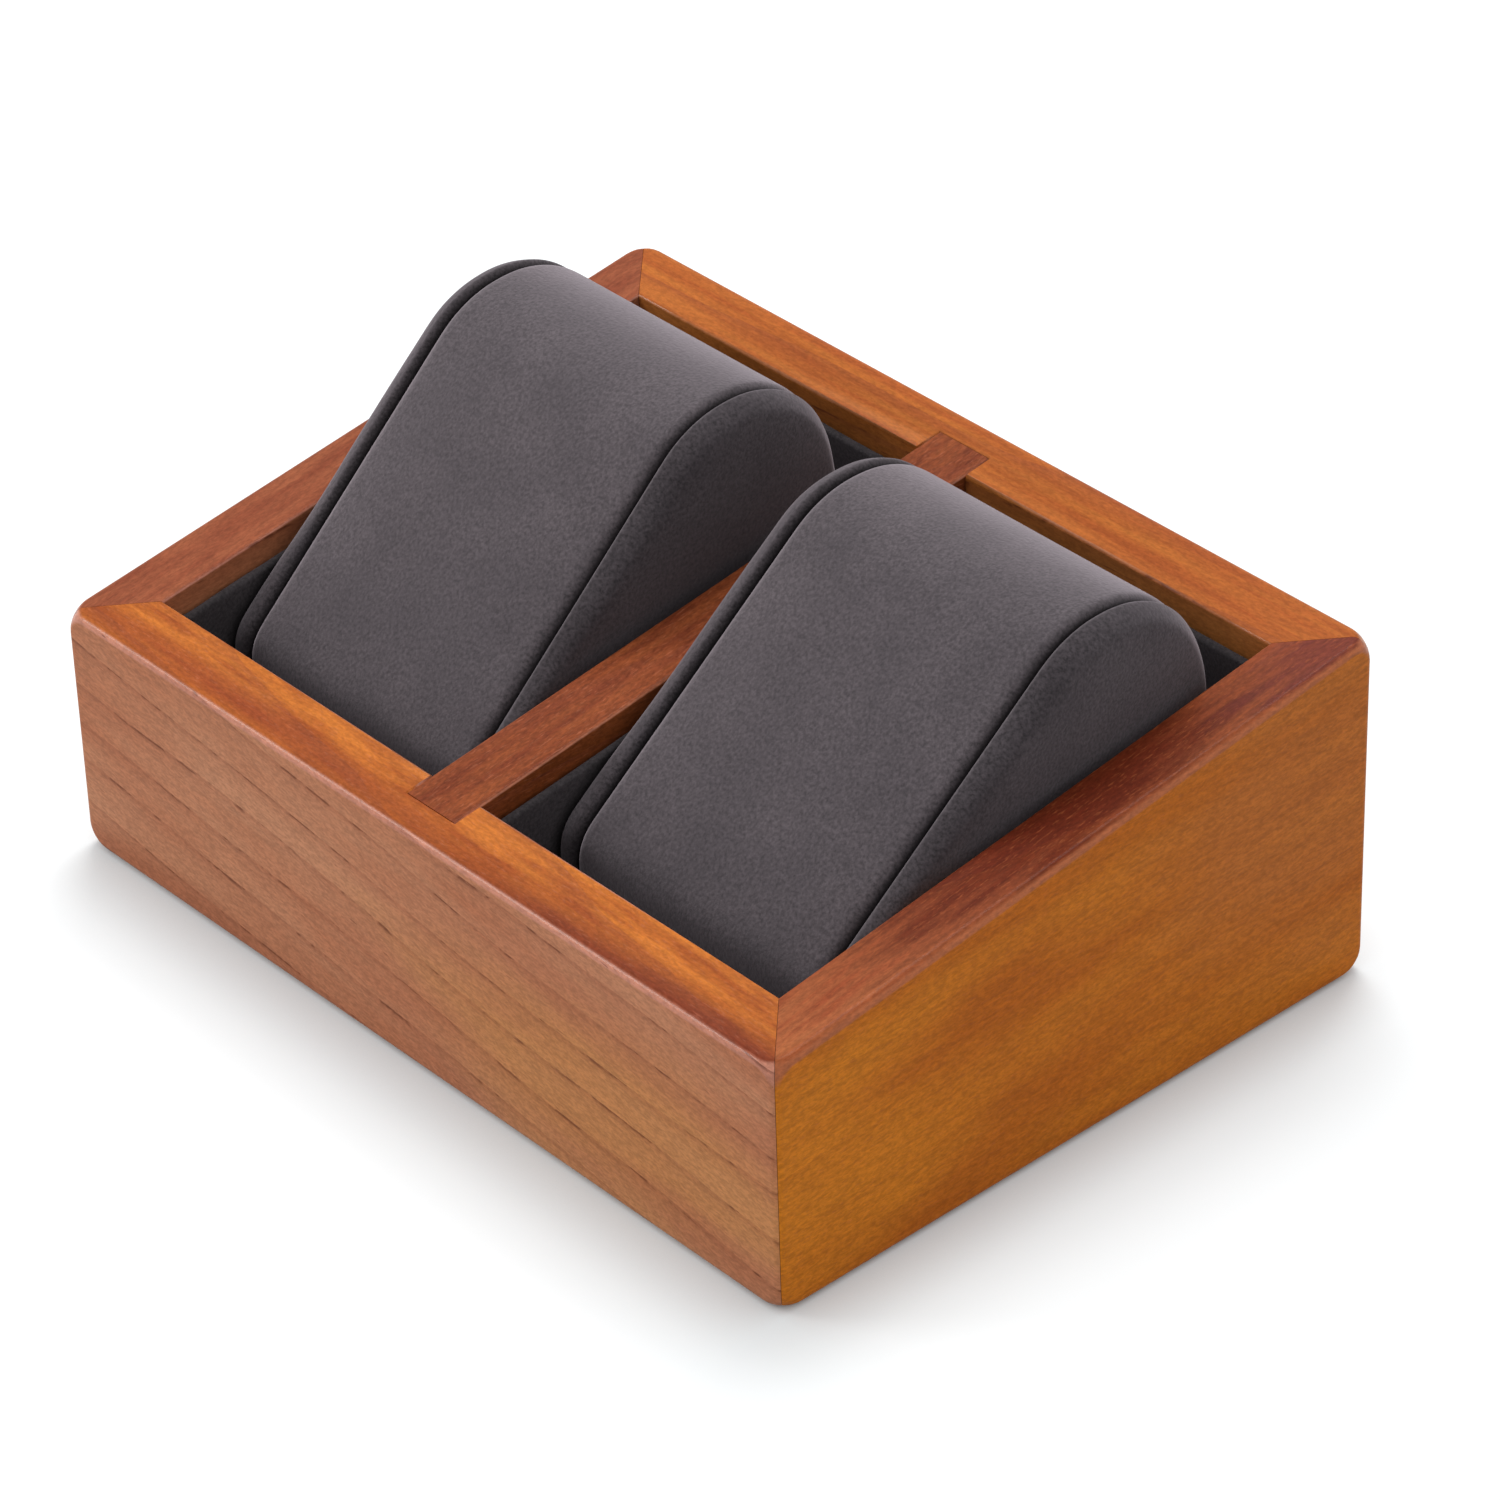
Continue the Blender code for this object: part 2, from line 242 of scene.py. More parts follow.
@dataclass(frozen=True)
class StainedHardwood(Finish):
    """Plain-sawn hardwood, stained reddish orange, sanded and sprayed with satin lacquer.

    The eye sees a warm ground with slow drifts from orange to red brown, soft darker bands that end
    in thin growth lines broken into short open pores, and a fine fibre between them. The broad face
    of a board and its sawn upper edge take the stain differently, so each has its own tone. The
    rounded arris between them is paler and pinker: partly the stain worn thinner by sanding, and
    partly a painted highlight.
    """

    grain: Grain
    face: tuple[str, str]
    edge: tuple[str, str]
    arris: str
    face_pools: tuple[StainAndShadePool, ...] = ()
    edge_pools: tuple[StainAndShadePool, ...] = ()
    line_colour: str = "#84452f"
    pore_colour: str = "#62301f"
    offset: Vector = Vector((0.0, 0.0, 0.0))
    slant: float = 0.0
    ring_tilt: float = 24.0
    ring_spacing: float = 5.2
    band_strength: float = 0.12
    line_strength: float = 0.19
    pore_strength: float = 0.66
    glint_strength: float = 0.0
    fleck_strength: float = 0.06
    fibre_strength: float = 0.15
    arris_coat: float = 0.5
    roughness: float = 0.5

    def surface(self, tree: NodeTree) -> Node:
        """Makes the board's shader, as Finish asks."""
        return BoardShader(self, tree).shader()


class BoardShader:
    """The shader nodes of one board of stained hardwood."""

    def __init__(self, wood: StainedHardwood, tree: NodeTree) -> None:
        """Sets out coordinates in millimetres, with the first one along the board's grain.

        Args:
            wood: The board's wood.
            tree: The material's node tree.
        """
        self.wood = wood
        self.add = partial(add_node, tree)
        self.place = self.add("TexCoord").outputs["Object"]
        along = self.add(
            "Mapping",
            {
                "Vector": self.place,
                "Rotation": (0.0, 0.0, -math.radians(wood.grain.value)),
                "Scale": (1.0 / MM, 1.0 / MM, 1.0 / MM),
            },
        )
        self.board = self.add(
            "Mapping",
            {
                "Vector": along,
                "Location": wood.offset,
                "Rotation": (0.0, math.radians(wood.slant), 0.0),
            },
        )

    def shader(self) -> Node:
        """Lays growth, pores and flecks over the stain, under satin lacquer.

        Returns:
            The shader's node.
        """
        wood = self.wood
        rubbed_and_highlit, on_edge = self.zones()
        band, line, core = self.parts_of_year()
        pores = self.pores(core, on_edge)
        fibre, figure = self.noise(FIBRE), self.noise(FIGURE)
        colour = self.ground(rubbed_and_highlit, on_edge)
        for pattern, strength, over in (
            (band, wood.band_strength, wood.line_colour),
            (line, wood.line_strength, wood.line_colour),
            (pores, wood.pore_strength, wood.pore_colour),
            # Painted glints, drawn in the arris colour
            (self.specks(GLINT), wood.glint_strength, wood.arris),
        ):
            colour = self.blend(pattern, strength, colour, over)
        for pattern, strength in ((figure, wood.fleck_strength), (fibre, wood.fibre_strength)):
            limits = {"From Min": 0.35, "From Max": 0.65}
            shades = {"To Min": 1.0 - strength, "To Max": 1.0 + strength}
            shade = self.add("MapRange", {"Value": pattern, **limits, **shades})
            colour = self.add("VectorMath", {0: colour, "Scale": shade}, operation="SCALE")
        relief = self.add("Math", {0: pores, 1: -PORE_DEPTH, 2: fibre}, operation="MULTIPLY_ADD")
        limits = {
            "From Min": 0.3,
            "From Max": 0.7,
            "To Min": wood.roughness - ROUGHNESS_CHANGE,
            "To Max": wood.roughness + ROUGHNESS_CHANGE,
        }
        # The lacquer runs together on the arris and stands thicker there
        arris_only = self.add("Math", {0: rubbed_and_highlit, 1: on_edge}, operation="SUBTRACT")
        coats = {"To Min": THIN_COAT, "To Max": wood.arris_coat}
        return self.add(
            "BsdfPrincipled",
            {
                "Base Color": colour,
                "Roughness": self.add("MapRange", {"Value": figure, **limits}),
                "Normal": self.add("Bump", {"Height": relief, "Strength": 0.4, "Distance": 0.03 * MM}),
                "IOR": 1.45,
                "Specular IOR Level": 0.05,
                "Coat Weight": self.add("MapRange", {"Value": arris_only, **coats}),
                "Coat Roughness": 0.14,
                "Coat IOR": 1.5,
            },
        )

    def noise(self, fleck: Fleck) -> Node:
        """Makes noise that is drawn out along the grain.

        Args:
            fleck: The size of its flecks and their finer detail.

        Returns:
            The noise's node.
        """
        size = (1.0 / fleck.length, 1.0 / fleck.width, 1.0 / fleck.width)
        scaled = self.add("Mapping", {"Vector": self.board, "Scale": size})
        detail = {"Detail": fleck.detail, "Roughness": fleck.roughness}
        return self.add("TexNoise", {"Vector": scaled, "Scale": 1.0, **detail})

    def specks(self, fleck: Fleck) -> Node:
        """Draws single specks: the noise's peaks alone, with soft edges.

        Args:
            fleck: The specks' size, and the noise from which they begin and are full.

        Returns:
            The node of their strength, from 0 to 1.
        """
        limits = {"From Min": fleck.start, "From Max": fleck.full}
        peaks = {"Value": self.noise(fleck), **limits}
        return self.add("MapRange", peaks, interpolation_type="SMOOTHSTEP")

    def parts_of_year(self) -> list[Node]:
        """Lays out the years of growth, unevenly wide and slowly wandering.

        Returns:
            For the darker band of each year, its line and the line's core, the node of its strength.
        """
        tilted = self.add(
            "Mapping",
            {
                "Vector": self.board,
                "Rotation": (math.radians(self.wood.ring_tilt), 0.0, 0.0),
                "Scale": (CHANGE_ALONG_GRAIN, 1.0, 1.0),
            },
        )
        # A wave texture repeats each 2 pi / 20 units at scale 1
        years = self.add(
            "TexWave",
            {
                "Vector": tilted,
                "Scale": math.tau / 20.0 / self.wood.ring_spacing,
                "Distortion": 4.5,
                "Detail": 2.5,
                "Detail Scale": 1.5,
                "Detail Roughness": 0.5,
            },
            wave_type="BANDS",
            bands_direction="Z",
            wave_profile="SAW",
        ).outputs["Fac"]
        return [
            self.add(
                "MapRange",
                {"Value": years, "From Min": start, "From Max": full},
                interpolation_type="SMOOTHSTEP",
            )
            for start, full in PARTS_OF_YEAR
        ]

    def pores(self, core: Node, on_edge: Node) -> Node:
        """Draws the open pores: dashes along the growth lines, and a few between them.

        Args:
            core: The thin core of the growth lines.
            on_edge: The board's upper edge, which shows fewer.

        Returns:
            The node of the pores' strength, from 0 to 1.
        """
        drawn = self.add(
            "Math",
            {0: core, 1: self.specks(DASH), 2: self.specks(LOOSE_PORE)},
            operation="MULTIPLY_ADD",
            use_clamp=True,
        )
        share = self.add("MapRange", {"Value": on_edge, "To Min": 1.0, "To Max": PORES_LEFT_ON_EDGE})
        return self.add("Math", {0: share, 1: drawn}, operation="MULTIPLY")

    def zones(self) -> list[Node]:
        """Tells a board's face, its arris and its upper edge apart by how far the surface turns up.

        Returns:
            Two nodes: the first gives 1 from the arris on, and the second on the upper edge alone.
        """
        normal = self.add("NewGeometry").outputs["Normal"]
        upward = self.add("SeparateXYZ", {0: normal}).outputs["Z"]
        return [
            self.add(
                "MapRange",
                {"Value": upward, "From Min": start, "From Max": full},
                interpolation_type="SMOOTHSTEP",
            )
            for start, full in ARRIS_AND_EDGE
        ]

    def ground(self, rubbed_and_highlit: Node, on_edge: Node) -> Node:
        """Mixes the stain's tones, apart on a board's face, on its arris and on its upper edge.

        Args:
            rubbed_and_highlit: How far a point is past the face.
            on_edge: How far it is past the arris.

        Returns:
            The node of the ground colour.
        """
        wood = self.wood
        tones = []
        for (pale, deep), pools, fleck in (
            (wood.face, wood.face_pools, FACE_DRIFT),
            (wood.edge, wood.edge_pools, EDGE_DRIFT),
        ):
            drift = self.noise(fleck)
            tone = self.add("ValToRGB", {"Fac": drift}, stops=((0.34, pale), (0.66, deep)))
            for pool in pools:
                tone = self.blend(self.inside_pool(pool, drift), pool.strength, tone, pool.colour)
            tones.append(tone)
        # The arris colour is partly the stain worn thinner by sanding and partly a painted highlight
        eased = self.add("Mix", {0: rubbed_and_highlit, 6: tones[0], 7: linear(wood.arris)}, data_type="RGBA")
        return self.add("Mix", {0: on_edge, 6: eased, 7: tones[1]}, data_type="RGBA")

    def inside_pool(self, pool: StainAndShadePool, drift: Node) -> Node:
        """Tells how far inside a pool of stain a point lies, with a wandering outline.

        Args:
            pool: The pool.
            drift: The slow change of tone, from 0 to 1.

        Returns:
            The node of a value that is 1 in the pool's middle and 0 outside.
        """
        scaled = self.add(
            "Mapping",
            {
                "Vector": self.place,
                "Location": [-place / reach for place, reach in zip(pool.place, pool.reach)],
                "Scale": [1.0 / (reach * MM) for reach in pool.reach],
            },
        )
        distance = self.add("VectorMath", {0: scaled}, operation="LENGTH")
        wandering = self.add("Math", {0: drift, 1: POOL_WANDER, 2: distance}, operation="MULTIPLY_ADD")
        return self.add(
            "MapRange",
            {"Value": wandering, "From Min": 0.9, "From Max": 1.6, "To Min": 1.0, "To Max": 0.0},
            interpolation_type="SMOOTHSTEP",
        )

    def blend(self, share: Node, strength: float, under: Node, over: str) -> Node:
        """Lays a colour over another where a pattern is strong.

        Args:
            share: The pattern, from 0 to 1.
            strength: How much of the colour shows where the pattern is full.
            under: The colour below.
            over: The sRGB hex colour that is laid over it.

        Returns:
            The node of the new colour.
        """
        amount = self.add("Math", {0: share, 1: strength}, operation="MULTIPLY")
        return self.add("Mix", {0: amount, 6: under, 7: linear(over)}, data_type="RGBA")


@dataclass(frozen=True)
class Microsuede(Finish):
    """Microfibre suede: a knit with its face brushed up into a very short, dense nap.

    The eye sees a matt, soft surface that is a little paler at grazing angles, peppered with fine
    specks where the fibres lie one way or the other, with slow patches from handling. Its colour and
    sheen are darkened by ambient occlusion near the seams and the lining: painted shade in the creases.
    """

    pale: str
    dark: str
    sheen: float
    nap: float = 0.42
    patch: float = 9.0
    speck_strength: float = 0.6
    relief: float = 0.1
    painted_crease_shade_reach: float = 1.4

    def surface(self, tree: NodeTree) -> Node:
        """Makes the cloth's shader.

        Args:
            tree: The material's node tree.

        Returns:
            The shader's node.
        """
        add = partial(add_node, tree)
        place = add("TexCoord").outputs["Object"]
        # The real nap is under 0.1 mm, too fine to show, so its specks are drawn coarser
        nap, patches = [
            add(
                "TexNoise",
                {"Vector": place, "Scale": 1.0 / (size * MM), "Detail": detail, "Roughness": roughness},
            )
            for size, detail, roughness in ((self.nap, 2.0, 0.6), (self.patch, 3.0, 0.5))
        ]
        ground = add("ValToRGB", {"Fac": patches}, stops=((0.3, self.dark), (0.7, self.pale)))
        limits = {
            "From Min": 0.3,
            "From Max": 0.7,
            "To Min": 1.0 - self.speck_strength,
            "To Max": 1.0 + self.speck_strength,
        }
        speck = add("MapRange", {"Value": nap, **limits})
        colour = add("VectorMath", {0: ground, "Scale": speck}, operation="SCALE")
        # Painted shade: ambient occlusion darkens the colour and the sheen in the seams and other creases
        openness = add(
            "AmbientOcclusion", {"Color": colour, "Distance": self.painted_crease_shade_reach * MM}, samples=4
        ).outputs
        return add(
            "BsdfPrincipled",
            {
                "Base Color": openness["Color"],
                "Roughness": 0.95,
                "Normal": add("Bump", {"Height": nap, "Strength": 0.6, "Distance": self.relief * MM}),
                "IOR": 1.45,
                "Specular IOR Level": 0.25,
                "Sheen Weight": add("Math", {0: openness["AO"], 1: self.sheen}, operation="MULTIPLY"),
                "Sheen Roughness": 0.55,
                "Sheen Tint": linear("#d8ccd4"),
            },
        )


@dataclass(frozen=True)
class PressedBoard(Finish):
    """Medium density fibreboard or pressed felt: short fibres matted together, dull and even."""

    pale: str
    dark: str
    fibre: float
    relief: float

    def surface(self, tree: NodeTree) -> Node:
        """Makes the matted fibres' shader.

        Args:
            tree: The material's node tree.

        Returns:
            The shader's node.
        """
        add = partial(add_node, tree)
        place = add("TexCoord").outputs["Object"]
        size = {"Scale": 1.0 / (self.fibre * MM), "Detail": 5.0, "Distortion": 1.5}
        mat = add("TexNoise", {"Vector": place, **size})
        return add(
            "BsdfPrincipled",
            {
                "Base Color": add("ValToRGB", {"Fac": mat}, stops=((0.35, self.dark), (0.65, self.pale))),
                "Roughness": 0.92,
                "Normal": add("Bump", {"Height": mat, "Strength": 0.5, "Distance": self.relief * MM}),
                "Specular IOR Level": 0.3,
            },
        )


def seen_directly(tree: NodeTree) -> Node:
    """Tells the rays that show a background from those that carry its light.

    Args:
        tree: The node tree.

    Returns:
        A node that gives 1 for camera, glossy and transmission rays.
    """
    path = add_node(tree, "LightPath").outputs
    seen = path["Is Camera Ray"]
    for kind in ("Is Glossy Ray", "Is Transmission Ray"):
        seen = add_node(tree, "Math", {0: seen, 1: path[kind]}, operation="MAXIMUM")
    return seen


@dataclass(frozen=True)
class Paper(Finish):
    """Matt white paper, which the eye sees as plain white around the object's soft shadow."""

    colour: str
    glow: float
    glow_colour: str
    contact_reach: float

    def surface(self, tree: NodeTree) -> Node:
        """Makes the paper's shader.

        Args:
            tree: The material's node tree.

        Returns:
            The shader's node.
        """
        # The glow stands for light from all round, which doesn't reach into the gap under the wood
        openness = add_node(tree, "AmbientOcclusion", {"Distance": self.contact_reach * MM}, samples=8)
        strength = seen_directly(tree)
        for share in (openness.outputs["AO"], self.glow):
            strength = add_node(tree, "Math", {0: strength, 1: share}, operation="MULTIPLY")
        paper = add_node(tree, "BsdfDiffuse", {"Color": linear(self.colour)})
        glow = add_node(tree, "Emission", {"Color": linear(self.glow_colour), "Strength": strength})
        return add_node(tree, "AddShader", {0: paper, 1: glow})


def saw(bm: BMesh, point: Vector, normal: Vector) -> None:
    """Cuts away what lies on the normal's side of a plane, and closes the cut.

    Args:
        bm: The closed shape that is cut.
        point: A point of the plane.
        normal: The plane's normal, towards what falls away.
    """
    whole = bm.verts[:] + bm.edges[:] + bm.faces[:]
    cut = bmesh.ops.bisect_plane(bm, geom=whole, plane_co=point, plane_no=normal, clear_outer=True)
    edges = [item for item in cut["geom_cut"] if isinstance(item, BMEdge)]
    bmesh.ops.holes_fill(bm, edges=edges)


def block(low: Vector, high: Vector) -> BMesh:
    """Makes a box between two opposite corners, as stock for a cut.

    Args:
        low: Its lowest corner.
        high: Its highest corner.

    Returns:
        The box.
    """
    bm = bmesh.new()
    size = Matrix.Diagonal((*(high - low), 1.0))
    bmesh.ops.create_cube(bm, size=1.0, matrix=Matrix.Translation((low + high) / 2) @ size)
    return bm


def new_piece(bm: BMesh, name: str, sharp_angle: float = SHARP_ANGLE) -> Object:
    """Makes an object from a shape, smooth except where it turns sharply.

    Args:
        bm: The shape, which is freed.
        name: The object's name.
        sharp_angle: The turn from which an edge is drawn sharp, in degrees.

    Returns:
        The object, linked into the scene.
    """
    bmesh.ops.recalc_face_normals(bm, faces=bm.faces[:])
    mesh = bpy.data.meshes.new(name)
    bm.to_mesh(mesh)
    bm.free()
    mesh.shade_smooth()
    mesh.set_sharp_from_angle(angle=math.radians(sharp_angle))
    obj = bpy.data.objects.new(name, mesh)
    bpy.context.scene.collection.objects.link(obj)
    return obj


def loft(rings: Sequence[Sequence[Vector]]) -> BMesh:
    """Joins closed rings of points into a skin, and closes its two ends.

    Args:
        rings: The rings in order, each with as many points as the others.

    Returns:
        The closed shape.
    """
    bm = bmesh.new()
    rows = [[bm.verts.new(point) for point in ring] for ring in rings]
    count = len(rows[0])
    for row, following in zip(rows, rows[1:]):
        for index in range(count):
            after = (index + 1) % count
            bm.faces.new((row[index], row[after], following[after], following[index]))
    for row in (rows[0], rows[-1]):
        middle = bm.verts.new(sum((vertex.co for vertex in row), Vector()) / count)
        for index in range(count):
            bm.faces.new((row[index], row[(index + 1) % count], middle))
    return bm


def finish_piece(obj: Object, material: Material, slot: str, *nodes: str) -> Object:
    """Gives a piece its material and its place in the frame.

    Args:
        obj: The piece.
        material: Its material.
        slot: Not used.
        *nodes: The CAD nodes that it stands for.

    Returns:
        The piece.
    """
    obj.data.materials.append(material)
    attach(obj, "root")
    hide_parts(*nodes)
    return obj


@dataclass
class TrayForm:
    """The tray's outside as one sanded block, which every wall board is cut from."""

    low: Vector
    high: Vector
    inner_x: float
    inner_y: float
    front_height: float = FRONT_HEIGHT
    back_height: float = BACK_HEIGHT
    rounding: float = EDGE_ROUNDING
    softening: float = CORNER_SOFTENING
    steps: int = 6

    @property
    def slope(self) -> float:
        """How much the rim rises for each metre towards the back."""
        return (self.back_height - self.front_height) / (self.high.y - self.low.y)

    @property
    def rim_normal(self) -> Vector:
        """The upward normal of the rim's plane."""
        return Vector((0.0, -self.slope, 1.0)).normalized()

    def rim_height(self, y: float) -> float:
        """The height of the rim's plane at a depth."""
        return self.front_height + (y - self.low.y) * self.slope

    def rim_point(self, drop: float = 0.0) -> Vector:
        """A point of the rim's plane, or of one that far below it."""
        return Vector((0.0, self.low.y, self.front_height - drop))

    def directions(self, normals: Sequence[Vector]) -> list[Vector]:
        """Spreads directions over a corner between three faces.

        Args:
            normals: The faces' outward normals.

        Returns:
            Unit vectors from one normal to the others.
        """
        found = []
        for first in range(self.steps + 1):
            for second in range(self.steps + 1 - first):
                third = self.steps - first - second
                found.append((first * normals[0] + second * normals[1] + third * normals[2]).normalized())
        return found

    def corner(self, x_side: int, y_side: int, on_rim: bool) -> list[Vector]:
        """Works out the points of one softened outer corner.

        Args:
            x_side: The corner's side along X, -1 or 1.
            y_side: The corner's side along Y, -1 or 1.
            on_rim: Whether it is an upper corner.

        Returns:
            Points on the edges' rounding, run round the corner of each of the three faces.
        """
        up = Vector((0.0, 0.0, 1.0))
        inner = self.high - Vector((self.rounding, self.rounding, 0.0))
        centre = Vector((x_side * inner.x, y_side * inner.y, 0.0))
        if on_rim:
            outward, rise = self.rim_normal, self.slope
            centre.z = self.rim_height(centre.y) - self.rounding / outward.z
        else:
            outward, rise = -up, 0.0
            centre.z = self.low.z + self.rounding
        along_x = Vector((-x_side, 0.0, 0.0))
        along_y = Vector((0.0, -y_side, -y_side * rise)).normalized()
        along_z = -up if on_rim else up
        directions = self.directions((Vector((x_side, 0.0, 0.0)), Vector((0.0, y_side, 0.0)), outward))
        set_back = self.softening - self.rounding
        points = []
        for first, second in ((along_x, along_y), (along_y, along_z), (along_z, along_x)):
            for step in range(self.steps):
                turn = math.radians(90.0) * step / self.steps
                inwards = first * (1.0 - math.cos(turn)) + second * (1.0 - math.sin(turn))
                points += [centre + inwards * set_back + way * self.rounding for way in directions]
        return points

    def outside(self) -> BMesh:
        """Makes the whole sanded block.

        Returns:
            The closed shape, before the inside is taken out.
        """
        bm = bmesh.new()
        for x_side, y_side, on_rim in product((-1, 1), (-1, 1), (False, True)):
            for point in self.corner(x_side, y_side, on_rim):
                bm.verts.new(point)
        hull = bmesh.ops.convex_hull(bm, input=bm.verts[:])
        covered = [item for item in hull["geom_interior"] if isinstance(item, BMVert)]
        bmesh.ops.delete(bm, geom=covered, context="VERTS")
        bmesh.ops.dissolve_limit(bm, angle_limit=FLAT_ANGLE, verts=bm.verts[:], edges=bm.edges[:])
        return bm

    def ease_inner_edge(self, bm: BMesh, inside: Vector) -> None:
        """Takes the sharpness off a board's upper inner edge.

        Args:
            bm: The board.
            inside: A vector whose direction is the inner face's normal and whose length its distance.
        """
        normal = inside.normalized()
        edges = [
            edge
            for edge in bm.edges
            if all(
                abs((vertex.co - self.rim_point()).dot(self.rim_normal)) < TINY
                and abs(vertex.co.dot(normal) - inside.length) < TINY
                for vertex in edge.verts
            )
        ]
        bmesh.ops.bevel(bm, geom=edges, offset=INNER_ARRIS, segments=4, profile=0.5, affect="EDGES")

    def board(self, wall: Wall) -> BMesh:
        """Cuts one wall board, mitred at both ends.

        Args:
            wall: Which wall it is.

        Returns:
            The board, without the divider's housing.
        """
        bm = self.outside()
        outward = Vector(wall.value)
        along = Vector((abs(outward.y), abs(outward.x), 0.0))
        inside = outward * Vector((self.inner_x, self.inner_y, 0.0))
        saw(bm, inside, -outward)
        for way in (-along, along):
            normal = (way - outward).normalized()
            corner = (way + outward) * Vector((self.high.x, self.high.y, 0.0))
            saw(bm, corner - normal * HAIRLINE / 2, normal)
        self.ease_inner_edge(bm, inside)
        return bm


@dataclass
class Tray:
    """The five boards of the tray: two rails, two sides and the divider."""

    form: TrayForm
    divider_half: float
    divider_end: float
    divider_bottom: float

    def carve(self, obj: Object) -> None:
        """Cuts the divider's housing into a rail.

        Args:
            obj: The rail.
        """
        half, end = self.divider_half + HOUSING_GAP, self.divider_end + HOUSING_GAP
        low = Vector((-half, -end, self.divider_bottom - HOUSING_GAP))
        cutter = new_piece(block(low, Vector((half, end, WELL_ABOVE_RIM))), "housing_cutter")
        modifier = obj.modifiers.new("housing", "BOOLEAN")
        modifier.operation = "DIFFERENCE"
        modifier.object = cutter
        bpy.context.view_layer.update()
        carved = bpy.data.meshes.new_from_object(obj.evaluated_get(bpy.context.evaluated_depsgraph_get()))
        obj.modifiers.clear()
        obj.data = carved
        obj.data.materials.clear()
        bpy.data.objects.remove(cutter)

    def divider(self) -> BMesh:
        """Makes the divider board, flush with the rim, its long upper edges eased.

        Returns:
            The board.
        """
        low = Vector((-self.divider_half, -self.divider_end, self.divider_bottom))
        high = Vector((self.divider_half, self.divider_end, WELL_ABOVE_RIM))
        bm = block(low, high)
        saw(bm, self.form.rim_point(), self.form.rim_normal)
        for x_side in (-1, 1):
            self.form.ease_inner_edge(bm, Vector((x_side * self.divider_half, 0.0, 0.0)))
        return bm

    def build(self, finishes: dict[str, StainedHardwood]) -> list[Object]:
        """Builds and dresses every board.

        Args:
            finishes: Each board's wood by the name of its CAD node.

        Returns:
            The five boards.
        """
        boards = {}
        for wall in Wall:
            node = wall.name.lower()
            boards[node] = new_piece(self.form.board(wall), f"{node}_board")
            if wall in (Wall.FRONT_RAIL, Wall.BACK_RAIL):
                self.carve(boards[node])
        boards["divider"] = new_piece(self.divider(), "divider_board")
        for node, obj in boards.items():
            # Keeps the flat faces flat beside their rounded edges
            weighting = obj.modifiers.new("flat_faces", "WEIGHTED_NORMAL")
            weighting.keep_sharp = True
            finish_piece(obj, finishes[node].build(), f"wood_{node.split('_')[0]}", node)
        return list(boards.values())


@dataclass
class Lining:
    """Card covered in microsuede: a floor and four walls in each compartment."""

    form: TrayForm
    spacing: float = 1.0 * MM
    waviness: float = 0.12 * MM
    wave_length: float = 6.0 * MM
    arc_steps: int = 6

    def section(self, half: float, bottom: float, top: float) -> list[tuple[float, float]]:
        """Works out a panel's section, with a full round along its top.

        Args:
            half: Half the panel's thickness.
            bottom: The height of its foot.
            top: The height of its top.

        Returns:
            Points across and up, in order round the section.
        """
        points = [(half, bottom), (half, (bottom + top) / 2)]
        for step in range(self.arc_steps + 1):
            turn = math.pi * step / self.arc_steps
            points.append((half * math.cos(turn), top - half + half * math.sin(turn)))
        points += [(-half, (bottom + top) / 2), (-half, bottom)]
        return points

    def wall(self, node: str) -> BMesh:
        """Makes a wall panel in the place of its CAD node, its top edge a little uneven.

        Args:
            node: The CAD node.

        Returns:
            The panel.
        """
        low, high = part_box(node)
        along_y = high.y - low.y > high.x - low.x
        start, stop = (low.y, high.y) if along_y else (low.x, high.x)
        middle = (low + high) / 2
        half = (high.x - low.x if along_y else high.y - low.y) / 2
        count = math.ceil((stop - start) / self.spacing)
        rings = []
        for step in range(count + 1):
            place = start + (stop - start) * step / count
            y = place if along_y else middle.y
            seed = Vector((place, middle.x, middle.y)) / self.wave_length
            top = self.form.rim_height(y) - LINING_DROP + self.waviness * noise.noise(seed)
            ring = []
            for across, up in self.section(half, low.z, top):
                if along_y:
                    ring.append(Vector((middle.x + across, place, up)))
                else:
                    ring.append(Vector((place, middle.y - across, up)))
            rings.append(ring)
        return loft(rings)

    def floor(self, node: str) -> BMesh:
        """Makes a floor panel in the place of its CAD node, its cloth turned over the long edges.

        Args:
            node: The CAD node.

        Returns:
            The panel.
        """
        low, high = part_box(node)
        half = (high.z - low.z) / 2
        level = (low.z + high.z) / 2
        count = math.ceil((high.y - low.y) / (4 * self.spacing))
        section = []
        for centre, start in ((high.x - half, -0.5), (low.x + half, 0.5)):
            for step in range(self.arc_steps + 1):
                turn = math.pi * (start + step / self.arc_steps)
                section.append((centre + half * math.cos(turn), level + half * math.sin(turn)))
        rings = [
            [Vector((x, low.y + (high.y - low.y) * step / count, z)) for x, z in section]
            for step in range(count + 1)
        ]
        return loft(rings)

    def build(self, finish: Microsuede) -> list[Object]:
        """Builds and dresses every panel.

        Args:
            finish: The cloth.

        Returns:
            The ten panels.
        """
        cloth = finish.build()
        panels = []
        for side in ("left", "right"):
            node = f"{side}_lining_floor"
            panel = new_piece(self.floor(node), f"{node}_panel")
            panels.append(finish_piece(panel, cloth, "lining", node))
            for place in ("front", "back", "left", "right"):
                node = f"{side}_lining_{place}"
                panel = new_piece(self.wall(node), f"{node}_panel")
                panels.append(finish_piece(panel, cloth, "lining", node))
        return panels


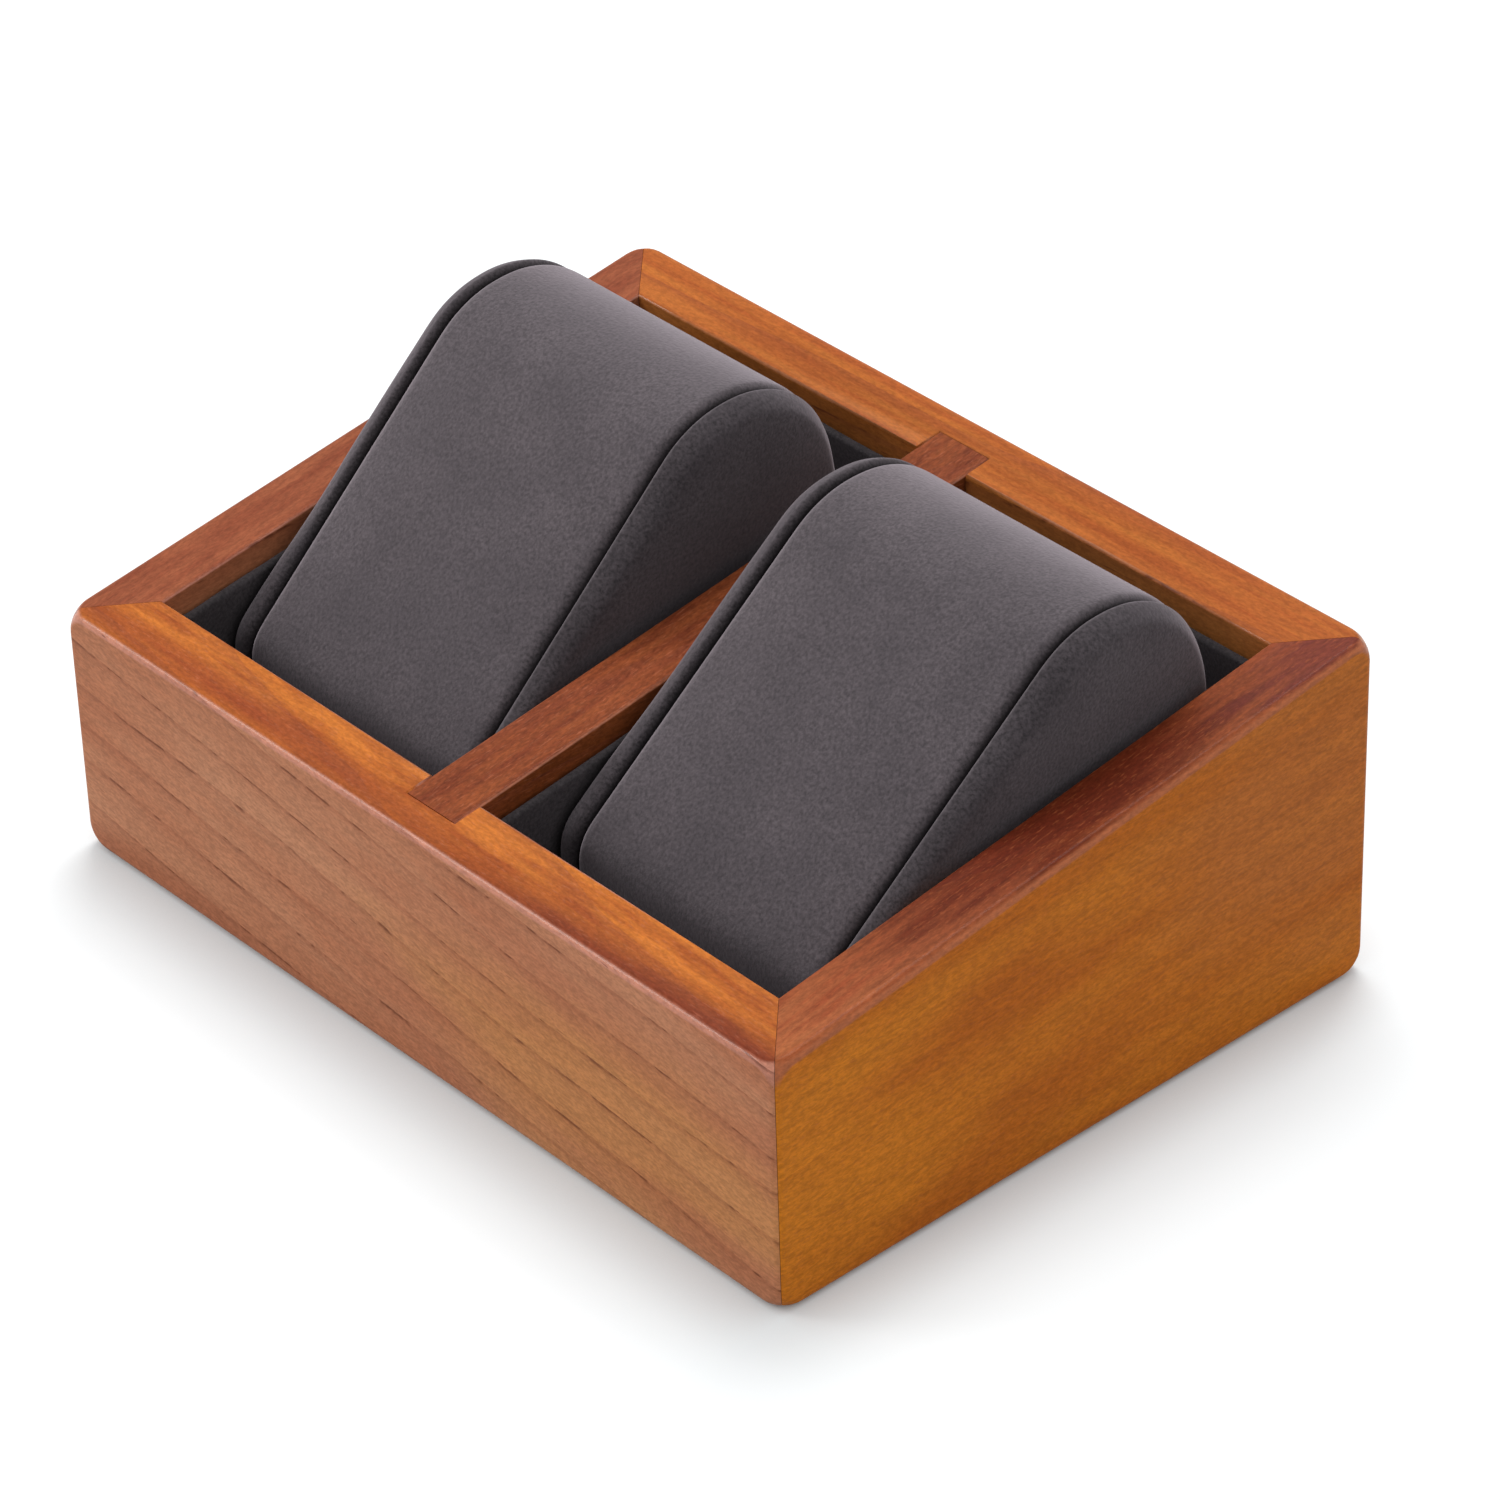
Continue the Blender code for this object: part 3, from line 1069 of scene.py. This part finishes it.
@dataclass
class Pillow:
    """A foam pad on a card shell, in microsuede: a band between two end caps, sewn in a deep groove."""

    side: str
    centre_x: float
    width: float
    front: float
    bottom: float
    depth: float
    height: float
    tilt: float
    front_height: float = 21.2 * MM
    top_flat: float = 0.6 * MM
    bottom_radius: float = 5.0 * MM
    knee_radius: float = 6.0 * MM
    brow_radius: float = 15.0 * MM
    back_radius: float = 15.0 * MM
    cap_thickness: float = 3.0 * MM
    rounding: float = 1.2 * MM
    groove: float = 0.35 * MM
    spacing: float = 1.3 * MM
    arc_steps: int = 4

    def brow_depth(self) -> float:
        """Works out how far back the slope meets the top, with the slope tangent to the brow.

        Returns:
            The depth behind the pillow's front.
        """
        level = self.depth - self.back_radius - self.top_flat
        to_centre = Vector((level, self.height - self.brow_radius - self.front_height))
        rise = math.atan2(to_centre.y, to_centre.x) + math.asin(self.brow_radius / to_centre.length)
        return (self.height - self.front_height) / math.tan(rise)

    def outline(self) -> list[Vector]:
        """Works out the side outline, depth against height, from the axis that the pillow tips about.

        Returns:
            Evenly spaced points, anticlockwise seen from the pillow's right.
        """
        corners = (
            (0.0, 0.0, self.bottom_radius),
            (self.depth, 0.0, self.bottom_radius),
            (self.depth, self.height, self.back_radius),
            (self.brow_depth(), self.height, self.brow_radius),
            (0.0, self.front_height, self.knee_radius),
        )
        origin = Vector((self.bottom_radius, self.bottom_radius))
        points = []
        for index, (depth, height, radius) in enumerate(corners):
            corner = Vector((depth, height)) - origin
            before = Vector(corners[index - 1][:2]) - origin
            after = Vector(corners[(index + 1) % len(corners)][:2]) - origin
            to_before, to_after = (before - corner).normalized(), (after - corner).normalized()
            turn = math.pi - to_before.angle(to_after)
            centre = corner + (to_before + to_after).normalized() * radius / math.cos(turn / 2)
            start = corner + to_before * radius * math.tan(turn / 2) - centre
            steps = max(3, math.ceil(turn / ARC_TURN))
            for step in range(steps + 1):
                points.append(centre + Matrix.Rotation(turn * step / steps, 2) @ start)
        return self.evenly(points)

    def evenly(self, points: Sequence[Vector]) -> list[Vector]:
        """Spaces a closed outline's points evenly.

        Args:
            points: The outline.

        Returns:
            The same outline with points about one spacing apart.
        """
        lengths = [(after - point).length for point, after in zip(points, [*points[1:], points[0]])]
        count = round(sum(lengths) / self.spacing)
        found = []
        index, passed = 0, 0.0
        for step in range(count):
            target = sum(lengths) * step / count
            while passed + lengths[index] < target:
                passed += lengths[index]
                index += 1
            share = (target - passed) / lengths[index] if lengths[index] else 0.0
            found.append(points[index].lerp(points[(index + 1) % len(points)], share))
        return found

    def inset(self, outline: Sequence[Vector], distance: float) -> list[Vector]:
        """Moves an anticlockwise outline inwards.

        Args:
            outline: Its points.
            distance: How far they move.

        Returns:
            The moved points.
        """
        moved = []
        for index, point in enumerate(outline):
            along = outline[(index + 1) % len(outline)] - outline[index - 1]
            moved.append(point + Vector((-along.y, along.x)).normalized() * distance)
        return moved

    def slab(self, place: float, thickness: float) -> BMesh:
        """Makes a slab of the outline with soft edges, as fine rings of quads.

        Args:
            place: The middle of the slab along the pillow's axis.
            thickness: Its thickness.

        Returns:
            The slab, in the pillow's own space.
        """
        outline = self.outline()
        rim = self.inset(outline, self.rounding)
        middle = sum(rim, Vector((0.0, 0.0))) / len(rim)
        half = thickness / 2
        left = []
        for share in CAP_RINGS:
            left.append((-half, [middle.lerp(point, share) for point in rim]))
        for step in range(self.arc_steps + 1):
            turn = math.radians(90.0) * step / self.arc_steps
            ring = self.inset(outline, self.rounding * (1.0 - math.sin(turn)))
            left.append((-half + self.rounding * (1.0 - math.cos(turn)), ring))
        flat = thickness - 2 * self.rounding
        count = max(1, round(flat / self.spacing))
        across = [(-flat / 2 + flat * step / count, outline) for step in range(1, count)]
        right = [(-x, ring) for x, ring in reversed(left)]
        rings = (*left, *across, *right)
        return loft([[Vector((place + x, point.x, point.y)) for point in ring] for x, ring in rings])

    def to_frame(self) -> Matrix:
        """The place of the pillow's own space in the CAD frame."""
        axis = Vector((self.centre_x, self.front + self.bottom_radius, self.bottom + self.bottom_radius))
        return Matrix.Translation(axis) @ Matrix.Rotation(self.tilt, 4, "X")

    def build(self, form: TrayForm, finishes: dict[str, Material]) -> list[Object]:
        """Builds, swells and dresses the band and its two caps.

        Args:
            form: The tray's form, for the height of the lining.
            finishes: The cloth of the band and of the caps, by the record's material slot.

        Returns:
            The three pieces.
        """
        pieces = []
        for pad in Pad:
            node = f"{self.side}_pillow_{pad.name.lower()}"
            if pad is Pad.BAND:
                slot, thickness = "pillow_band", self.width - 2 * (self.cap_thickness + self.groove)
            else:
                slot, thickness = "pillow_cap", self.cap_thickness
            bm = self.slab(pad.value * (self.width - self.cap_thickness) / 2, thickness)
            bm.transform(self.to_frame())
            piece = new_piece(bm, f"{node}_pad", sharp_angle=PAD_SHARP_ANGLE)
            self.swell(piece, form, pad)
            smooth = piece.modifiers.new("soft_surface", "SUBSURF")
            smooth.levels = 1
            smooth.render_levels = 1
            finish_piece(piece, finishes[slot], slot, node)
            pieces.append(piece)
        return pieces

    def swell(self, piece: Object, form: TrayForm, pad: Pad) -> None:
        """Lets the pad swell against its seams, by a cloth simulation.

        Args:
            piece: The pad's object.
            form: The tray's form, for the height of the lining.
            pad: Which of the pillow's pads it is.
        """
        face = self.width / 2 - self.cap_thickness
        held = HELD_BY_SEAM * self.rounding
        inverse = self.to_frame().inverted()
        seam = []
        for vertex in piece.data.vertices:
            across = (inverse @ vertex.co).x
            if pad is Pad.BAND:
                sewn = abs(across) > face - self.groove - held
            else:
                sewn = pad.value * across < face + held
            if sewn:
                seam.append(vertex.index)
        least, more = BAND_SWELLING if pad is Pad.BAND else CAP_SWELLING

        def allowance(point: Vector) -> float:
            """How far a point may move: little inside the lining, more above it."""
            above = (point.z - form.rim_height(point.y) + LINING_DROP) / LINING_CLEARED
            return (least + more * max(0.0, min(1.0, above))) * MM

        swell_cloth(piece, seam, allowance)


def swell_cloth(piece: Object, seam: Sequence[int], allowance: Callable[[Vector], float]) -> None:
    """Blows a closed pad up a little with its seams held, and keeps the result in its mesh.

    The cloth solver expects sizes of half a metre or so, so the pad is simulated ten times as large.

    Args:
        piece: The pad, with its place in its mesh.
        seam: The vertices that are sewn down.
        allowance: How far a point may move, by its place.
    """
    scale, last_frame = 10.0, 20
    scene = bpy.context.scene
    mesh = piece.data.copy()
    mesh.transform(Matrix.Scale(scale, 4))
    double = bpy.data.objects.new("swelling_pad", mesh)
    scene.collection.objects.link(double)
    held = double.vertex_groups.new(name="seam")
    held.add(list(seam), 1.0, "REPLACE")
    cloth = double.modifiers.new("swelling", "CLOTH")
    cloth.settings.quality = 6
    cloth.settings.use_pressure = True
    cloth.settings.uniform_pressure_force = 4.0
    cloth.settings.effector_weights.gravity = 0.0
    cloth.settings.vertex_group_mass = "seam"
    cloth.collision_settings.use_collision = False
    cloth.point_cache.frame_start = 1
    cloth.point_cache.frame_end = last_frame
    for number in range(1, last_frame + 1):
        scene.frame_set(number)
    swollen = double.evaluated_get(bpy.context.evaluated_depsgraph_get()).data
    shifts = []
    for vertex, moved in zip(piece.data.vertices, swollen.vertices):
        shift = moved.co / scale - vertex.co
        if shift.length > allowance(vertex.co):
            shift = shift.normalized() * allowance(vertex.co)
        shifts.append(shift)
    for vertex, shift in zip(piece.data.vertices, evened(piece.data, shifts, set(seam))):
        vertex.co += shift
    LOG.info("%s: swollen by up to %.2f mm", piece.name, max(shift.length for shift in shifts) / MM)
    scene.frame_set(1)
    bpy.data.objects.remove(double)
    bpy.data.meshes.remove(mesh)


def evened(mesh: Mesh, shifts: list[Vector], held: set[int], rounds: int = 14) -> list[Vector]:
    """Evens out moves over a mesh, as foam under the cloth does, so that no pleats stay.

    Args:
        mesh: The mesh.
        shifts: How far each vertex moves.
        held: The vertices that keep their own move.
        rounds: How often each move is averaged with its neighbours'.

    Returns:
        The evened moves.
    """
    near = [[] for _ in mesh.vertices]
    for edge in mesh.edges:
        first, second = edge.vertices
        near[first].append(second)
        near[second].append(first)
    for _ in range(rounds):
        sums = [sum((shifts[other] for other in others), Vector()) for others in near]
        shifts = [
            shift if index in held else (shift + sums[index]) / (len(near[index]) + 1)
            for index, shift in enumerate(shifts)
        ]
    return shifts


@dataclass
class Studio:
    """A plain pale floor, soft light from above and behind, and the photograph's camera."""

    floor_reach: float = 3.0
    ambient: float = 0.7
    key_power: float = 4.6
    key_size: float = 0.4
    key_place: Vector = Vector((-0.2, 0.27, 0.86))
    fill_power: float = 1.8
    fill_size: float = 0.3
    fill_place: Vector = Vector((-0.62, -0.57, 0.53))
    camera_place: Vector = Vector((0.4709, -0.40245, 0.4509))
    camera_turn: tuple[float, float, float] = (55.30241, 1.54337, 47.96698)
    lens: float = 154.25
    sensor: float = 36.0

    def build(self) -> None:
        """Builds the floor, the light and the camera."""
        bpy.context.scene.view_settings.view_transform = "Standard"
        self.build_floor()
        self.build_world()
        self.build_lamp("key_light", self.key_place, self.key_size, self.key_power)
        self.build_lamp("fill_light", self.fill_place, self.fill_size, self.fill_power)
        self.build_camera()

    def build_floor(self) -> None:
        """Makes the pale floor, which keeps the object's shadow."""
        reach = self.floor_reach
        bm = bmesh.new()
        corners = ((-reach, -reach), (reach, -reach), (reach, reach), (-reach, reach))
        bm.faces.new([bm.verts.new((x, y, 0.0)) for x, y in corners])
        floor = new_piece(bm, "studio_floor")
        floor.data.materials.append(FLOOR_PAPER.build())

    def build_world(self) -> None:
        """Makes an even white surround."""
        world = bpy.data.worlds.new("white_studio")
        world.use_nodes = True
        tree = world.node_tree
        tree.nodes.clear()
        strength = add_node(
            tree,
            "MapRange",
            {"Value": seen_directly(tree), "To Min": self.ambient, "To Max": 1.0},
        )
        light = add_node(tree, "Background", {"Color": linear("#ffffff"), "Strength": strength})
        add_node(tree, "OutputWorld", {"Surface": light})
        bpy.context.scene.world = world

    def build_lamp(self, name: str, place: Vector, size: float, power: float) -> None:
        """Hangs one soft square lamp that faces the object.

        Args:
            name: The lamp's name.
            place: Where it hangs.
            size: The length of its side.
            power: Its power in watts.
        """
        lamp = bpy.data.lights.new(name, "AREA")
        lamp.size = size
        lamp.energy = power
        obj = bpy.data.objects.new(name, lamp)
        obj.location = place
        obj.rotation_euler = (-place).to_track_quat("-Z", "Y").to_euler()
        bpy.context.scene.collection.objects.link(obj)

    def build_camera(self) -> None:
        """Sets the photograph's camera."""
        camera = bpy.data.cameras.new("photo_camera")
        camera.lens = self.lens
        camera.sensor_width = self.sensor
        obj = bpy.data.objects.new("photo_camera", camera)
        obj.location = self.camera_place
        obj.rotation_euler = Euler([math.radians(turn) for turn in self.camera_turn])
        bpy.context.scene.collection.objects.link(obj)
        bpy.context.scene.camera = obj


WOODS = {
    "front_rail": StainedHardwood(
        name="stained_hardwood_front",
        grain=Grain.ALONG_X,
        face=("#bd8463", "#b27252"),
        edge=("#c2702e", "#984c22"),
        # This pale pink arris is mostly a painted highlight, with some stain worn thinner by sanding
        arris="#c6846c",
        face_pools=(
            StainAndShadePool(place=(-50.0, -46.0, 0.0), reach=(44.0, 4.0, 6.0), colour="#9a5438", strength=0.5),
            StainAndShadePool(place=(36.0, -46.0, 14.0), reach=(50.0, 4.0, 17.0), colour="#c2854c", strength=0.65),
        ),
        edge_pools=(
            StainAndShadePool(place=(52.0, -46.6, 35.0), reach=(90.0, 5.0, 12.0), colour="#6e2c20", strength=0.85),
            StainAndShadePool(place=(-34.0, -43.5, 35.0), reach=(60.0, 2.8, 12.0), colour="#8a3e24", strength=0.6),
        ),
        offset=Vector((13.0, 4.0, 7.0)),
        slant=-6.5,
        glint_strength=0.12,
    ),
    "back_rail": StainedHardwood(
        name="stained_hardwood_back",
        grain=Grain.ALONG_X,
        face=("#b8743c", "#a5602a"),
        edge=("#b4672e", "#a05226"),
        arris="#b06a3c",
        offset=Vector((57.0, 31.0, 22.0)),
        slant=2.0,
    ),
    "left_side": StainedHardwood(
        name="stained_hardwood_left",
        grain=Grain.ALONG_Y,
        face=("#b87a56", "#a46444"),
        edge=("#965539", "#82432d"),
        arris="#b0705a",
        offset=Vector((81.0, 12.0, 40.0)),
        slant=1.0,
    ),
    "right_side": StainedHardwood(
        name="stained_hardwood_right",
        grain=Grain.ALONG_Y,
        face=("#c27220", "#b05f1a"),
        edge=("#a5603a", "#8c4528"),
        arris="#a85c34",
        face_pools=(
            StainAndShadePool(place=(62.5, -38.0, 14.0), reach=(4.0, 30.0, 22.0), colour="#ca7a20", strength=0.7),
            StainAndShadePool(place=(62.5, 40.0, 30.0), reach=(4.0, 36.0, 26.0), colour="#b06630", strength=0.7),
        ),
        # These dark pools on the rail's upper edge, on its inner side and at the back, are partly the
        # stain and partly painted shade
        edge_pools=(
            StainAndShadePool(place=(56.0, 4.0, 40.0), reach=(11.0, 46.0, 20.0), colour="#5c2010", strength=0.95),
            StainAndShadePool(place=(60.0, 48.0, 47.0), reach=(11.0, 26.0, 20.0), colour="#6c322c", strength=0.9),
        ),
        line_colour="#8a4517",
        pore_colour="#713410",
        offset=Vector((33.0, 45.0, 63.0)),
        slant=1.5,
        band_strength=0.06,
        line_strength=0.04,
        pore_strength=0.12,
        glint_strength=0.32,
        fleck_strength=0.08,
        fibre_strength=0.16,
    ),
    "divider": StainedHardwood(
        name="stained_hardwood_divider",
        grain=Grain.ALONG_Y,
        face=("#8a4a28", "#703818"),
        edge=("#8a4828", "#723620"),
        arris="#a8664a",
        offset=Vector((5.0, 71.0, 9.0)),
        glint_strength=0.34,
        fibre_strength=0.22,
    ),
}
BAND_CLOTH = Microsuede(name="charcoal_microsuede_band", pale="#413b3e", dark="#363134", sheen=0.85)
# Painted shade: the caps' cloth is the band's, made darker and with less sheen
SHADED_CAP_CLOTH = Microsuede(name="charcoal_microsuede_cap", pale="#393437", dark="#302b2e", sheen=0.5)
FLOOR_PAPER = Paper(
    name="matt_white_paper", colour="#cfcfcf", glow=0.42, glow_colour="#f0fbff", contact_reach=10.0
)
LINING_CLOTH = Microsuede(name="charcoal_microsuede_lining", pale="#2f2b2d", dark="#272425", sheen=0.4)
FIBREBOARD = PressedBoard(
    name="stained_fibreboard", pale="#7a5638", dark="#5c3f28", fibre=0.8, relief=0.05
)
FELT = PressedBoard(name="pressed_black_felt", pale="#2a2827", dark="#171615", fibre=0.5, relief=0.15)


def dress_node(name: str, finish: PressedBoard) -> Object:
    """Gives a CAD node that stays a better material.

    Args:
        name: The node.
        finish: Its finish.

    Returns:
        The node's object.
    """
    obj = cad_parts[name]
    material = finish.build()
    for slot in obj.material_slots:
        slot.material = material
    return obj


def tray_form() -> TrayForm:
    """Works the tray's form out from the boxes of two walls.

    Returns:
        The form.
    """
    front_low, front_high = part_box("front_rail")
    side_low, side_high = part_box("right_side")
    low = Vector((-side_high.x, front_low.y, front_low.z))
    high = Vector((side_high.x, -front_low.y, BACK_HEIGHT))
    return TrayForm(low=low, high=high, inner_x=side_low.x, inner_y=-front_high.y)


def pillows() -> list[Pillow]:
    """Works both pillows out from the boxes of the level one.

    Returns:
        The left pillow, which is tipped forward, and the right one.
    """
    band_low, band_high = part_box("right_pillow_band")
    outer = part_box("right_pillow_right_cap")[1].x
    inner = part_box("right_pillow_left_cap")[0].x
    shared = {
        "width": outer - inner,
        "front": band_low.y,
        "bottom": band_low.z,
        "depth": band_high.y - band_low.y,
        "height": band_high.z - band_low.z,
    }
    centre = (outer + inner) / 2
    return [
        Pillow(side="left", centre_x=-centre, tilt=LEFT_TILT, **shared),
        Pillow(side="right", centre_x=centre, tilt=0.0, **shared),
    ]


def main() -> None:
    """Builds every piece in order and reports it."""
    logging.basicConfig(level=logging.INFO, format="%(name)s: %(message)s")
    form = tray_form()
    divider_low, divider_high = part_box("divider")
    tray = Tray(
        form=form,
        divider_half=divider_high.x,
        divider_end=divider_high.y,
        divider_bottom=divider_low.z,
    )
    made = tray.build(WOODS)
    made += Lining(form=form).build(LINING_CLOTH)
    # The caps are the band's cloth made darker and less sheeny: painted shade, because the caps face away
    # from the light
    cloths = {"pillow_band": BAND_CLOTH.build(), "pillow_cap": SHADED_CAP_CLOTH.build()}
    for pillow in pillows():
        made += pillow.build(form, cloths)
    made.append(dress_node("base_board", FIBREBOARD))
    made.append(dress_node("bottom_felt", FELT))
    Studio().build()
    for obj in made:
        LOG.info("%s: %d faces", obj.name, len(obj.data.polygons))


if __name__ == "__main__":
    main()
